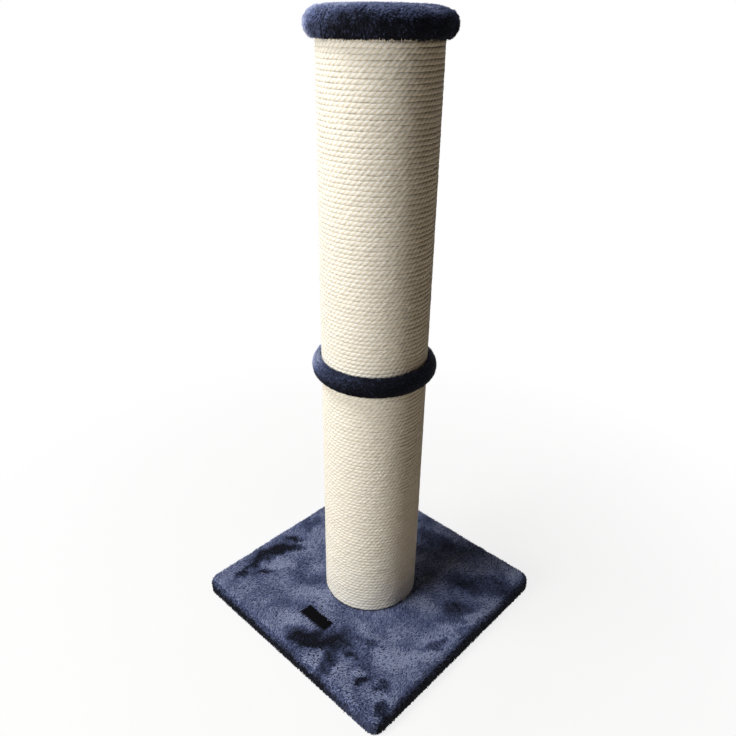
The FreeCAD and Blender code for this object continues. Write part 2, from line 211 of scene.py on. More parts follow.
def pick(thing, kind, wanted):
    """In edit mode, select the verts, edges or faces that pass a test."""
    bpy.ops.mesh.select_mode(type={"verts": "VERT", "edges": "EDGE", "faces": "FACE"}[kind])
    bpy.ops.mesh.select_all(action="DESELECT")
    body = bmesh.from_edit_mesh(thing.data)
    for part in getattr(body, kind):
        if wanted(part):
            part.select_set(True)
    body.select_flush_mode()
    bmesh.update_edit_mesh(thing.data)


def numbers_of(parts, field, width, kind=float):
    """A field of all parts of a mesh, one row to a part."""
    flat = np.empty(width * len(parts), kind)
    parts.foreach_get(field, flat)
    return flat.reshape(-1, width)


def points_of(mesh):
    return numbers_of(mesh.vertices, "co", 3)


def set_points(mesh, points):
    mesh.vertices.foreach_set("co", np.ascontiguousarray(points).ravel())
    mesh.update()


def normals_of(mesh):
    return numbers_of(mesh.vertex_normals, "vector", 3)


def faces_of(mesh):
    """The point at each face corner, and how many corners each face has."""
    corners = numbers_of(mesh.loops, "vertex_index", 1, np.int32)
    totals = numbers_of(mesh.polygons, "loop_total", 1, np.int32)
    return corners.ravel(), totals.ravel()


def set_attribute(mesh, name, values):
    """Store one number or vector for each point."""
    values = np.asarray(values, np.float32)
    kind, field = ("FLOAT", "value") if values.ndim == 1 else ("FLOAT_VECTOR", "vector")
    mesh.attributes.new(name, kind, "POINT").data.foreach_set(field, values.ravel())


def unit(vectors):
    return vectors / np.maximum(np.linalg.norm(vectors, axis=-1, keepdims=True), 1e-12)


def drift(points, size, salt):
    """Smooth random vectors that change over a size. Another salt gives another pattern."""
    away = Vector((salt, 2 * salt, 3 * salt))
    return np.array([noise.noise_vector(Vector(point) / size + away) for point in points])


def patches(points, *layers):
    """Noise added up from layers, each a strength, a size in millimetres, a salt and an axis."""
    return sum(strength * drift(points, size * MM, salt)[:, axis]
               for strength, size, salt, axis in layers)


def smooth_step(values, low, high):
    share = np.clip((values - low) / (high - low), 0, 1)
    return share * share * (3 - 2 * share)


def copies_of(template, name, places):
    """One mesh of many copies. places has each copy's points, as copies x points x 3."""
    count, size, _ = places.shape
    mesh = template.data
    corners, totals = faces_of(mesh)
    starts = np.concatenate([[0], np.cumsum(np.tile(totals, count))[:-1]])
    made = bpy.data.meshes.new(name)
    made.vertices.add(count * size)
    made.vertices.foreach_set("co", places.ravel())
    made.loops.add(count * len(corners))
    shifted = corners[None, :] + size * np.arange(count)[:, None]
    made.loops.foreach_set("vertex_index", shifted.astype(np.int32).ravel())
    made.polygons.add(count * len(totals))
    made.polygons.foreach_set("loop_start", starts.astype(np.int32))
    made.update(calc_edges=True)
    if mesh.uv_layers:
        flat = numbers_of(mesh.uv_layers[0].data, "uv", 2)
        across = math.ceil(math.sqrt(count))
        cell = np.stack(np.divmod(np.arange(count), across), axis=1)
        spread = (flat[None] + cell[:, None, :]) / across
        made.uv_layers.new(name=BAKE_MAP).data.foreach_set("uv", spread.ravel())
    thing = bpy.data.objects.new(name, made)
    bpy.context.scene.collection.objects.link(thing)
    only(thing)
    bpy.ops.object.shade_smooth()
    return thing


def delete(thing):
    bpy.data.meshes.remove(thing.data)


def dress(thing, material):
    """Give a piece its finish and make it part of the post."""
    thing.data.materials.clear()
    thing.data.materials.append(material)
    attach(thing, BODY)


# Materials


def add(tree, kind, values=None, **inputs):
    """Add a shader node, set its own values, and set or link its inputs by name."""
    made = tree.nodes.new(f"ShaderNode{kind}")
    for name, value in (values or {}).items():
        setattr(made, name, value)
    for name, value in inputs.items():
        socket = made.inputs[int(name[1:])] if name[0] == "_" else made.inputs[name.replace("_", " ")]
        if isinstance(value, bpy.types.NodeSocket):
            tree.links.new(value, socket)
        else:
            socket.default_value = value
    return made


def new_material(name):
    """Empty material, and its tree of nodes."""
    material = bpy.data.materials.new(name)
    material.use_nodes = True
    material.node_tree.nodes.clear()
    return material, material.node_tree


def surface(tree, **inputs):
    """End a material in its surface shader."""
    shader = add(tree, "BsdfPrincipled", **inputs)
    add(tree, "OutputMaterial", Surface=shader.outputs["BSDF"])


def colour_ramp(tree, value, stops):
    """Colours along a value, as pairs of place and colour."""
    ramp = add(tree, "ValToRGB", Fac=value)
    marks = ramp.color_ramp.elements
    while len(marks) < len(stops):
        marks.new(0.5)
    for mark, (place, colour) in zip(marks, stops):
        mark.position = place
        mark.color = colour
    return ramp.outputs["Color"]


def cycles_per_metre(millimetres):
    """Scale of a pattern whose marks are so far apart."""
    return 1 / (millimetres * MM)


def plush_material(name, gleam):
    """Short polyester plush: dyed fibres with painted shade at the root, and a soft gleam on their
    sides.
    """
    plush = settings("plush")
    material, tree = new_material(name)
    # The shade attribute holds the tone of the pile together with painted shade and painted light
    shade = add(tree, "Attribute", {"attribute_name": "shade"}).outputs["Fac"]
    place = add(tree, "TexCoord").outputs["Object"]

    # Single fibres are too fine to show, so this is the width of a few that cling together
    fibre = add(tree, "TexNoise", Vector=place, Scale=cycles_per_metre(0.9), Detail=3.0)
    uneven = add(tree, "MapRange", Value=fibre.outputs["Fac"], To_Min=-0.14, To_Max=0.14)
    total = add(tree, "Math", {"operation": "ADD"}, _0=shade, _1=uneven.outputs["Result"])
    colour = colour_ramp(tree, total.outputs["Value"],
                         ((0.0, plush.dark), (0.55, plush.middle), (1.0, plush.light)))
    bump = add(tree, "Bump", Strength=0.35, Distance=0.4 * MM, Height=fibre.outputs["Fac"])
    surface(tree, Base_Color=colour, Normal=bump.outputs["Normal"], Roughness=0.7,
            Specular_IOR_Level=0.08, Sheen_Weight=gleam, Sheen_Roughness=0.3,
            Sheen_Tint=linear("#dfe3ff"))
    return material


def backing_material():
    """Knitted backing cloth under the pile, with pressed pile where it is turned under."""
    material, tree = new_material("plush_backing")
    place = add(tree, "TexCoord").outputs["Object"]
    pressed = add(tree, "TexNoise", Vector=place, Scale=cycles_per_metre(2.5), Detail=4.0,
                  Roughness=0.65)
    colour = colour_ramp(tree, pressed.outputs["Fac"],
                         ((0.3, linear("#1b1e2c")), (0.75, linear("#454c6b"))))
    bump = add(tree, "Bump", Strength=0.6, Distance=0.8 * MM, Height=pressed.outputs["Fac"])
    surface(tree, Base_Color=colour, Normal=bump.outputs["Normal"], Roughness=0.9,
            Specular_IOR_Level=0.05, Sheen_Weight=0.1)
    return material


def sisal_material():
    """Three-strand sisal rope: dry, pale leaf fibres, with painted shade down in the grooves between
    strands.
    """
    rope = settings("rope")
    material, tree = new_material("sisal_rope")
    straight = add(tree, "Attribute", {"attribute_name": "straight"}).outputs["Vector"]
    crest = add(tree, "Attribute", {"attribute_name": "crest"}).outputs["Fac"]

    # Fibres run along the rope, so their noise is drawn out along its first axis. It is coarser than
    # real fibre, which is too fine to show
    drawn = add(tree, "Mapping", Vector=straight, Scale=(0.12, 1.0, 1.0))
    fibre = add(tree, "TexNoise", Vector=drawn.outputs["Vector"], Scale=cycles_per_metre(0.7),
                Detail=3.0, Roughness=0.6)
    batch = add(tree, "TexNoise", Vector=straight, Scale=cycles_per_metre(45), Detail=4.0,
                Roughness=0.7)
    tint = add(tree, "Math", {"operation": "ADD"}, _0=fibre.outputs["Fac"],
               _1=batch.outputs["Fac"])
    mean = add(tree, "Math", {"operation": "MULTIPLY"}, _0=tint.outputs["Value"], _1=0.5)
    clean = colour_ramp(tree, mean.outputs["Value"], ((0.36, rope.straw), (0.56, rope.pale)))
    # Painted shade: the colour darkens from the strands' crests down into the grooves between them
    lit = add(tree, "MapRange", Value=crest, From_Min=0.05, From_Max=0.6)
    colour = add(tree, "Mix", {"data_type": "RGBA"}, _0=lit.outputs["Result"], _6=rope.groove,
                 _7=clean)
    bump = add(tree, "Bump", Strength=0.5, Distance=0.35 * MM, Height=fibre.outputs["Fac"])
    surface(tree, Base_Color=colour.outputs[2], Normal=bump.outputs["Normal"], Roughness=0.8,
            Specular_IOR_Level=0.25)
    return material


def woven_material(name, colour, thread_mm):
    """Woven polyester: fine crossing ribs with a faint satin gleam."""
    material, tree = new_material(name)
    place = add(tree, "TexCoord").outputs["Object"]

    # A wave takes about two threads, one over and one under, coarser than real ones so that they show
    scale = cycles_per_metre(thread_mm) / (2 * math.pi)
    warp, weft = (add(tree, "TexWave", {"bands_direction": axis}, Vector=place, Scale=scale,
                      Distortion=0.4).outputs["Fac"] for axis in "XY")
    weave = add(tree, "Math", {"operation": "MULTIPLY"}, _0=warp, _1=weft)
    lighter = tuple(min(1.0, 1.8 * share + 0.002) for share in colour[:3]) + (1.0,)
    tone = colour_ramp(tree, weave.outputs["Value"], ((0.1, colour), (0.9, lighter)))
    bump = add(tree, "Bump", Strength=0.5, Distance=0.15 * MM, Height=weave.outputs["Value"])
    surface(tree, Base_Color=tone, Normal=bump.outputs["Normal"], Roughness=0.6,
            Specular_IOR_Level=0.02)
    return material


def fibreboard_material():
    """Raw fibreboard: pressed wood dust with darker flecks."""
    material, tree = new_material("raw_fibreboard")
    place = add(tree, "TexCoord").outputs["Object"]
    fleck = add(tree, "TexNoise", Vector=place, Scale=cycles_per_metre(1.6), Detail=6.0,
                Roughness=0.75)
    cloud = add(tree, "TexNoise", Vector=place, Scale=cycles_per_metre(40), Detail=2.0)
    faint = add(tree, "Math", {"operation": "MULTIPLY"}, _0=cloud.outputs["Fac"], _1=0.25)
    mixed = add(tree, "Math", {"operation": "MULTIPLY_ADD"}, _0=fleck.outputs["Fac"], _1=0.75,
                _2=faint.outputs["Value"])
    colour = colour_ramp(tree, mixed.outputs["Value"],
                         ((0.34, linear("#8a6a44")), (0.5, linear("#b08d60")),
                          (0.66, linear("#c9a97c"))))
    bump = add(tree, "Bump", Strength=0.25, Distance=0.2 * MM, Height=fleck.outputs["Fac"])
    surface(tree, Base_Color=colour, Normal=bump.outputs["Normal"], Roughness=0.82)
    return material


def cardboard_material():
    """Spiral-wound cardboard: grey-brown plies with short paper fibres."""
    material, tree = new_material("wound_cardboard")
    place = add(tree, "TexCoord").outputs["Object"]
    fibre = add(tree, "TexNoise", Vector=place, Scale=cycles_per_metre(1.2), Detail=5.0)
    ply = add(tree, "TexWave", {"bands_direction": "DIAGONAL", "wave_profile": "SAW"}, Vector=place,
              Scale=cycles_per_metre(90) / (2 * math.pi))
    mixed = add(tree, "Math", {"operation": "MULTIPLY_ADD"}, _0=ply.outputs["Fac"], _1=0.2,
                _2=fibre.outputs["Fac"])
    colour = colour_ramp(tree, mixed.outputs["Value"],
                         ((0.35, linear("#8b6f4d")), (0.8, linear("#b4966c"))))
    bump = add(tree, "Bump", Strength=0.2, Distance=0.2 * MM, Height=fibre.outputs["Fac"])
    surface(tree, Base_Color=colour, Normal=bump.outputs["Normal"], Roughness=0.85)
    return material


def foam_material():
    """Open-cell polyurethane foam: a cream skin full of small pores, painted darker towards their
    middles as painted shade.
    """
    material, tree = new_material("open_cell_foam")
    place = add(tree, "TexCoord").outputs["Object"]
    cell = add(tree, "TexVoronoi", Vector=place, Scale=cycles_per_metre(1.1))
    colour = colour_ramp(tree, cell.outputs["Distance"],
                         ((0.0, linear("#b9ae8c")), (0.5, linear("#efe8d2"))))
    bump = add(tree, "Bump", Strength=0.6, Distance=0.4 * MM, Height=cell.outputs["Distance"])
    surface(tree, Base_Color=colour, Normal=bump.outputs["Normal"], Roughness=0.95)
    return material


def zinc_material():
    """Zinc-plated steel: a bright cool plating with cloudy dull patches."""
    material, tree = new_material("zinc_plated_steel")
    place = add(tree, "TexCoord").outputs["Object"]
    cloud = add(tree, "TexNoise", Vector=place, Scale=cycles_per_metre(3), Detail=4.0)
    colour = colour_ramp(tree, cloud.outputs["Fac"],
                         ((0.3, linear("#a9adb3")), (0.7, linear("#d3d6da"))))
    dull = add(tree, "MapRange", Value=cloud.outputs["Fac"], To_Min=0.25, To_Max=0.5)
    surface(tree, Base_Color=colour, Roughness=dull.outputs["Result"], Metallic=1.0)
    return material


# Rope

STRANDS = 3
STRAND_POINTS = 4
CREST_ROUNDNESS = 0.8

# Lengths along the rope over which it wanders, swells, and its strands differ
WANDER_LENGTH = 60 * MM
SWELL_LENGTH = 9 * MM
STRAND_LENGTH = 16 * MM

# How much the lay slips, in radians, and by what shares grooves, girth, strands and sway change
LAY_SLIP = 0.9
GROOVE_CHANGE = 0.6
GIRTH_CHANGE = 0.03
STRAND_CHANGE = 0.1
OUTWARD_SWAY = 0.4

# Radius at which the fibres' pattern is drawn
FIBRE_RADIUS = 3 * MM

# Share of its row in the bake's map that a turn fills
ROW_FILL = 0.92


def rope_on(tube_name, material, salt):
    """Wind one tube with rope, from its foot to its head, in a few meshes that meet end to end."""
    rope = settings("rope")
    low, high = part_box(f"{tube_name}_sisal_rope")
    radius = rope.diameter / 2
    line_radius = high.x - radius
    turns = (high.z - low.z - 2 * radius) / rope.pitch
    per_length = turns / rope.lengths
    for index in range(rope.lengths):
        name = f"{tube_name}_rope_{index + 1}"
        thing = rope_length(name, line_radius, low.z + radius, index * per_length, per_length, salt)
        dress(thing, material)
        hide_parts(f"{tube_name}_sisal_rope")


def rope_length(name, line_radius, low, first, turns, salt):
    """A ring carried up the post by Screw, then laid up in three strands."""
    rope = settings("rope")
    ring = STRAND_POINTS * STRANDS
    clear_selection()
    bpy.ops.mesh.primitive_circle_add(vertices=ring, radius=rope.diameter / 2,
                                      location=(line_radius, 0, low + first * rope.pitch),
                                      rotation=(math.pi / 2, 0, 0))
    thing = new_piece(name)
    steps = round(turns * rope.steps)
    finish_modifier(thing, "SCREW", angle=2 * math.pi * turns, screw_offset=turns * rope.pitch,
                    steps=steps, render_steps=steps)
    bpy.ops.object.mode_set(mode="EDIT")
    bpy.ops.mesh.select_all(action="SELECT")
    bpy.ops.mesh.fill_holes(sides=0)
    bpy.ops.object.mode_set(mode="OBJECT")

    # Each ring of points turns with the lay, so that crests and grooves run along the strands
    turn = first + np.linspace(0, turns, steps + 1)
    along = turn * math.hypot(2 * math.pi * line_radius, rope.pitch)
    around = 2 * math.pi * np.arange(ring) / ring
    crest = np.abs(np.cos(around * STRANDS / 2)) ** CREST_ROUNDNESS
    line = np.stack([along, 0 * along, 0 * along], axis=1)
    wander = drift(line, WANDER_LENGTH, 3.7 + salt)
    swell = drift(line, SWELL_LENGTH, 8.3 + salt)
    lay = 2 * math.pi * along / rope.lay + LAY_SLIP * wander[:, 2]
    angle = around[None, :] + lay[:, None]
    depth = rope.valley * (1 + GROOVE_CHANGE * swell[:, 1:2]) * (1 - crest[None, :])
    strand = (np.arange(ring) + STRAND_POINTS // 2) // STRAND_POINTS % STRANDS
    uneven = drift(line, STRAND_LENGTH, 2.9 + salt)[:, strand]
    girth = 1 + GIRTH_CHANGE * swell[:, :1] + STRAND_CHANGE * uneven
    share = girth * (1 - 2 * depth / rope.diameter)
    out, up = pressed_section(angle)
    outward = line_radius + rope.sway * OUTWARD_SWAY * wander[:, :1] + share * out
    level = low + turn[:, None] * rope.pitch + rope.sway * wander[:, 1:2] + share * up
    compass = 2 * math.pi * turn[:, None]
    points = np.stack([outward * np.cos(compass), outward * np.sin(compass), level], axis=2)
    set_points(thing.data, points.reshape(-1, 3))
    straight = np.stack([np.broadcast_to(along[:, None], angle.shape),
                         share * np.cos(angle) * FIBRE_RADIUS,
                         share * np.sin(angle) * FIBRE_RADIUS], axis=2)
    set_attribute(thing.data, "straight", straight.reshape(-1, 3))
    # crest also sets where the material paints shade into the grooves
    set_attribute(thing.data, "crest", np.tile(crest, steps + 1))
    return smoothed_rope(thing, ring)


def pressed_section(angle):
    """Points of the rope's section, a square with round corners, evenly spaced by angle."""
    rope = settings("rope")
    flat = rope.diameter - 2 * rope.corner
    quarter = flat + math.pi / 2 * rope.corner
    side, along = np.divmod((angle / (math.pi / 2)) * quarter + flat / 2, quarter)
    bend = np.clip((along - flat) / rope.corner, 0, None)
    out = flat / 2 + rope.corner * np.cos(bend)
    up = np.minimum(along, flat) - flat / 2 + rope.corner * np.sin(bend)
    turn = side * math.pi / 2
    return out * np.cos(turn) - up * np.sin(turn), out * np.sin(turn) + up * np.cos(turn)


def smoothed_rope(thing, ring):
    """Point the faces outwards and lay the bake's map out with one turn to a row."""
    rope = settings("rope")
    only(thing)
    bpy.ops.object.mode_set(mode="EDIT")
    face_outwards()
    bpy.ops.object.mode_set(mode="OBJECT")
    bpy.ops.object.shade_smooth()
    mesh = thing.data
    corners, totals = faces_of(mesh)
    face = np.repeat(np.arange(len(totals)), totals)
    step, place = np.divmod(corners, ring)
    first_step = np.full(len(totals), step.max())
    np.minimum.at(first_step, face, step)
    last_place = np.zeros(len(totals), int)
    np.maximum.at(last_place, face, place)
    wraps = (last_place[face] == ring - 1) & (place == 0)
    row = first_step[face] // rope.steps
    rows = row.max() + 2
    across = step / rope.steps - row
    up = row + ROW_FILL * np.where(wraps, ring, place) / ring

    # The two end faces lie side by side in the last row, as round patches
    patch_place, patch_step, half_width, half_height = 0.1, 0.2, 0.05, 0.4
    end = totals[face] > 4
    compass = 2 * math.pi * place / ring
    patch_across = patch_place + patch_step * (step > 0) + half_width * np.cos(compass)
    across = np.where(end, patch_across, across)
    up = np.where(end, rows - 0.5 + half_height * np.sin(compass), up)
    layer = mesh.uv_layers.new(name=BAKE_MAP)
    layer.data.foreach_set("uv", np.stack([across, up / rows], axis=1).ravel())
    return thing


# Plush

# A tuft leans at its root, bends at its knee and lies flatter to its tip, in degrees from upright
ROOT_LEAN = 42
TIP_LEAN = 74
LEAN_SPREAD = 9
KNEE = 0.5

# How tufts differ: shares of the set length and width, and the spread of their shade
LENGTHS = (0.7, 1.2)
WIDTHS = (0.75, 1.25)
SHADE_SPREAD = 0.13

# A tuft's girth at its knee and its thickness as shares of its width, and its root's shade as a share
# of its tip's, a painted shade that darkens each tuft towards its root
KNEE_GIRTH = 0.85
TUFT_THICKNESS = 0.6
ROOT_SHADE = 0.5

# How far neighbours stray together and singly from the lie of the pile
STRAY_SIZE = 5 * MM
STRAY = 0.45
SINGLE_STRAY = 0.35

ROOT_DEPTH = 0.4 * MM
FLOOR_GAP = 0.2 * MM

# Share of a tuft's normals that comes from the skin, because short pile shades as one soft surface
SKIN_SHARE = 0.7

# Distance over which the lie of the pile turns, and how far, in right angles
LIE_SIZE = 60 * MM
LIE_TURN = 0.9

# Compass headings of the sides of the collar and cap that get painted shade and painted light, in
# degrees
SHADE_PAINTED_SIDE = -30
SHADE_PAINTED_REACH = 75
LIGHT_PAINTED_SIDE = -146

# Shades from 0, dark, to 1, light: the pile on the base's top and down its sides, on the cap's crown,
# and on the rolls of the collar and the cap. The sides and the rolls are painted darker, as painted
# shade. The last is the painted light that the front side's right end gains
TOP_SHADE = 0.78
SIDE_PAINTED_SHADE = -0.12
CROWN_SHADE = 0.8
ROLL_PAINTED_SHADE = 0.2
FRONT_PAINTED_LIGHT = 0.5

# Furrows in a roll: how much less they change up it than round it, how far from the rope they start,
# and how near inside the rope's surface a point is pushed clear of it
FURROW_RISE = 0.35
FURROW_START = 4 * MM
INNER_WALL = 3 * MM

ROUND_STEPS = 120

STUFFING_PRESSURE = 4
STUFFING_FRAMES = 20


def tuft_template():
    """One tuft of pile: a three-sided spike, one unit long, fat at its root and middle."""
    clear_selection()
    bpy.ops.mesh.primitive_circle_add(vertices=3, radius=0.5, fill_type="NGON")
    thing = new_piece("tuft")
    bpy.ops.object.mode_set(mode="EDIT")
    bpy.ops.mesh.select_all(action="SELECT")
    bpy.ops.mesh.extrude_region_move(TRANSFORM_OT_translate={"value": (0, 0, KNEE)})
    bpy.ops.transform.resize(value=(KNEE_GIRTH, KNEE_GIRTH, 1))
    bpy.ops.mesh.extrude_region_move(TRANSFORM_OT_translate={"value": (0, 0, 1 - KNEE)})
    bpy.ops.mesh.merge(type="CENTER")
    face_outwards()
    bpy.ops.uv.smart_project(island_margin=0.05)
    bpy.ops.object.mode_set(mode="OBJECT")
    return thing


def plant_pile(name, skin, covered, nap, seed, fineness=1.0):
    """Plant leaning tufts on the covered faces of a skin. nap gives each tuft's way and shade."""
    plush = settings("plush")
    chance = np.random.default_rng(seed)
    mesh = skin.data
    mesh.calc_loop_triangles()
    corners = numbers_of(mesh.loop_triangles, "vertices", 3, np.int32)
    points = points_of(mesh)
    normals = normals_of(mesh)
    first, second, third = (points[corners[:, place]] for place in range(3))
    facing = np.cross(second - first, third - first)
    area = np.linalg.norm(facing, axis=1) / 2
    area = area * covered((first + second + third) / 3, unit(facing))
    count = int(area.sum() / (plush.spacing * fineness) ** 2)
    even = (np.arange(count) + chance.random(count)) / count
    chosen = corners[np.searchsorted(np.cumsum(area) / area.sum(), even)]
    weights = chance.dirichlet((1, 1, 1), count)
    roots = np.einsum("ij,ijk->ik", weights, points[chosen])
    upright = unit(np.einsum("ij,ijk->ik", weights, normals[chosen]))
    way, shade = nap(roots, upright)
    way = (way + STRAY * drift(roots, STRAY_SIZE, seed + 0.5)
           + SINGLE_STRAY * chance.normal(size=(count, 3)))
    way = unit(way - upright * np.sum(way * upright, axis=1, keepdims=True))

    tuft = tuft_template()
    shape = points_of(tuft.data)
    length = plush.pile * fineness * chance.uniform(*LENGTHS, (count, 1))
    width = plush.tuft * fineness * chance.uniform(*WIDTHS, (count, 1))
    root_lean = np.radians(chance.normal(ROOT_LEAN, LEAN_SPREAD, (count, 1)))
    tip_lean = np.radians(chance.normal(TIP_LEAN, LEAN_SPREAD, (count, 1)))
    root_way = upright * np.cos(root_lean) + way * np.sin(root_lean)
    tip_way = upright * np.cos(tip_lean) + way * np.sin(tip_lean)
    side = np.cross(upright, way)
    back = upright * np.sin(root_lean) - way * np.cos(root_lean)
    places = np.empty((count, len(shape), 3))
    for index, (across, deep, up) in enumerate(shape):
        bent = min(up, KNEE) * root_way + max(up - KNEE, 0) * tip_way
        places[:, index] = (roots - ROOT_DEPTH * upright + length * bent
                            + width * (across * side + TUFT_THICKNESS * deep * back))
    places[:, :, 2] = np.maximum(places[:, :, 2], FLOOR_GAP)
    pile = copies_of(tuft, name, places)
    shade = np.clip(shade + chance.normal(0, SHADE_SPREAD, count), 0, 1)
    # Painted shade: each tuft darkens from its tip to its root
    height = ROOT_SHADE + (1 - ROOT_SHADE) * shape[:, 2] / shape[:, 2].max()
    set_attribute(pile.data, "shade", np.outer(shade, height).ravel())
    skin_normals = np.repeat(upright, len(shape), axis=0)
    soft = (1 - SKIN_SHARE) * normals_of(pile.data) + SKIN_SHARE * skin_normals
    pile.data.normals_split_custom_set_from_vertices(unit(soft).tolist())
    delete(tuft)
    return pile


def swollen(thing, sewn, most, voxel):
    """Swell a skin as stuffing does, by a short pressure simulation, held where it is sewn."""
    only(thing)
    thing.data.remesh_voxel_size = voxel
    bpy.ops.object.voxel_remesh()
    start = points_of(thing.data)
    held = thing.vertex_groups.new(name="sewn")
    held.add([int(index) for index in np.flatnonzero(sewn(start))], 1.0, "REPLACE")
    cloth = thing.modifiers.new("Stuffing", "CLOTH")
    cloth.settings.use_pressure = True
    cloth.settings.uniform_pressure_force = STUFFING_PRESSURE
    cloth.settings.vertex_group_mass = "sewn"
    cloth.settings.effector_weights.gravity = 0
    scene = bpy.context.scene
    for step in range(STUFFING_FRAMES):
        scene.frame_set(step + 1)
    bpy.ops.object.modifier_apply(modifier=cloth.name)
    scene.frame_set(1)
    move = points_of(thing.data) - start
    far = np.linalg.norm(move, axis=1, keepdims=True)
    set_points(thing.data, start + move * np.minimum(1, most / np.maximum(far, 1e-9)))
    thing.vertex_groups.clear()
    finish_modifier(thing, "SUBSURF", levels=1, render_levels=1)
    only(thing)
    bpy.ops.object.shade_smooth()


def base_skin():
    """Backing cloth of the base: a rounded slab, opened below, with a wall of cloth."""
    plush = settings("plush")
    low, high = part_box("base_plush_cover")
    side = high.x - low.x - 2 * plush.standing
    top = high.z - plush.standing
    corner, top_edge, floor_edge, voxel = 14.5 * MM, 7 * MM, 3 * MM, 3 * MM
    clear_selection()
    bpy.ops.mesh.primitive_cube_add(size=1, location=(0, 0, top / 2))
    thing = new_piece("base_cover", (side, side, top))
    bpy.ops.object.mode_set(mode="EDIT")
    pick(thing, "edges", lambda edge: abs(edge.verts[0].co.z - edge.verts[1].co.z) > top / 2)
    bpy.ops.mesh.bevel(offset=corner, segments=6, affect="EDGES")
    pick(thing, "edges", lambda edge: min(vert.co.z for vert in edge.verts) > top - NEAR)
    bpy.ops.mesh.bevel(offset=top_edge, segments=5, affect="EDGES")
    pick(thing, "edges", lambda edge: max(vert.co.z for vert in edge.verts) < NEAR)
    bpy.ops.mesh.bevel(offset=floor_edge, segments=3, affect="EDGES")
    bpy.ops.object.mode_set(mode="OBJECT")
    thing.data.remesh_voxel_size = voxel
    bpy.ops.object.voxel_remesh()

    window = side / 2 + plush.standing - plush.hem
    bpy.ops.object.mode_set(mode="EDIT")

    def under_window(face):
        middle = face.calc_center_median()
        return face.normal.z < -0.8 and middle.z < MM and max(abs(middle.x), abs(middle.y)) < window

    pick(thing, "faces", under_window)
    bpy.ops.mesh.delete(type="FACE")
    bpy.ops.object.mode_set(mode="OBJECT")
    shape_base(thing, top)
    finish_modifier(thing, "SOLIDIFY", thickness=plush.cloth, offset=-1, use_even_offset=True)
    only(thing)
    bpy.ops.object.shade_smooth()
    return thing


def shape_base(thing, top):
    """Press the cloth under the post and the label, crease the hem's corners and stir the top."""
    points = points_of(thing.data)
    foot_low, foot_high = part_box("lower_sisal_rope")
    label_low, label_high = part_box("base_label")
    waves, foot_gap, label_gap = 0.7 * MM, 0.2 * MM, 0.1 * MM
    crease, crease_width, hem_level = 1.2 * MM, 1.5 * MM, 0.6 * MM

    # The dents under the post and the label start this far inside their edges and end this far outside
    foot_inside, foot_outside, label_inside, label_outside = 2 * MM, 3 * MM, 1 * MM, 3 * MM
    upper = smooth_step(points[:, 2], 0.6 * top, 0.95 * top)
    stir = patches(points, (1, 22, 1.3, 2), (0.5, 8, 4.1, 2))
    points[:, 2] += waves * stir * upper
    post = np.hypot(points[:, 0], points[:, 1])
    pressed = 1 - smooth_step(post, foot_high.x - foot_inside, foot_high.x + foot_outside)
    points[:, 2] += upper * pressed * (foot_low.z - foot_gap - points[:, 2])
    inside = np.maximum(np.abs(points[:, 0]) - label_high.x,
                        np.abs(points[:, 1] - (label_low.y + label_high.y) / 2)
                        - (label_high.y - label_low.y) / 2)
    under = 1 - smooth_step(inside, -label_inside, label_outside)
    points[:, 2] += upper * under * (label_low.z - label_gap - points[:, 2])
    below = points[:, 2] < hem_level
    points[below, 2] = 0
    diagonal = np.abs(np.abs(points[:, 0]) - np.abs(points[:, 1])) / math.sqrt(2)
    points[below, 2] += crease * np.exp(-(diagonal[below] / crease_width) ** 2)
    set_points(thing.data, points)


# Places where a hand has brushed the base's pile: x, y, half length, half width in millimetres, heading
# in degrees, and how much darker the pile looks there. The brushing turns the pile's lie, and the
# darkness is painted shade; below 0 it is painted light instead, with the lie left alone
BRUSHED = (
    (-167, -90, 42, 13, 88, 0.6),
    (-152, -50, 24, 9, 48, 0.6),
    (-163, -32, 14, 6, 40, 0.6),
    (-167, -151, 22, 7, 100, 0.5),
    (-140, -119, 20, 4, 62, 0.5),
    (-172, 18, 24, 14, 75, 0.4),
    (-80, -78, 36, 24, 30, 0.15),
    (12, -168, 28, 15, 20, 0.5),
    (48, -138, 40, 20, 48, 0.6),
    (74, -172, 24, 12, 110, 0.55),
    (88, -139, 14, 6, 20, 0.4),
    (131, -157, 14, 5, 62, 0.6),
    (158, -148, 14, 9, 60, 0.5),
    (100, -100, 14, 9, 30, 0.4),
    (170, -38, 26, 9, 75, 0.45),
    (150, 34, 32, 22, 70, 0.35),
    (185, -174, 12, 8, 120, 0.45),
    (150, 120, 55, 26, 215, 0.35),
    (-120, 120, 60, 30, 300, 0.35),
    (20, 150, 50, 18, 10, 0.3),
    (-36, -162, 36, 18, 20, -0.18),
    (-130, -92, 26, 9, 60, -0.22),
    (140, -100, 28, 18, 40, -0.2),
    (165, -72, 34, 9, 60, -0.2),
    (182, 52, 28, 8, 80, -0.2),
    (118, -150, 12, 7, 30, -0.25),
)

# Painted shade that a brushed place takes for each unit of its darkness, and how far its edge strays
BRUSHED_PAINTED_SHADE = 1.5
BRUSHED_STRAY = 9 * MM
BRUSHED_STRAY_SIZE = 14 * MM

# Painted light brightens the front side's pile from one place along it to another
FRONT_SIDE = -190 * MM
FRONT_LIGHT_FROM = 60 * MM
FRONT_LIGHT_TO = 190 * MM


def lie_of_pile(points, salt):
    """Heading in which the pile lies at each point."""
    return settings("plush").heading + LIE_TURN * drift(points, LIE_SIZE, salt)[:, 0] * math.pi / 2


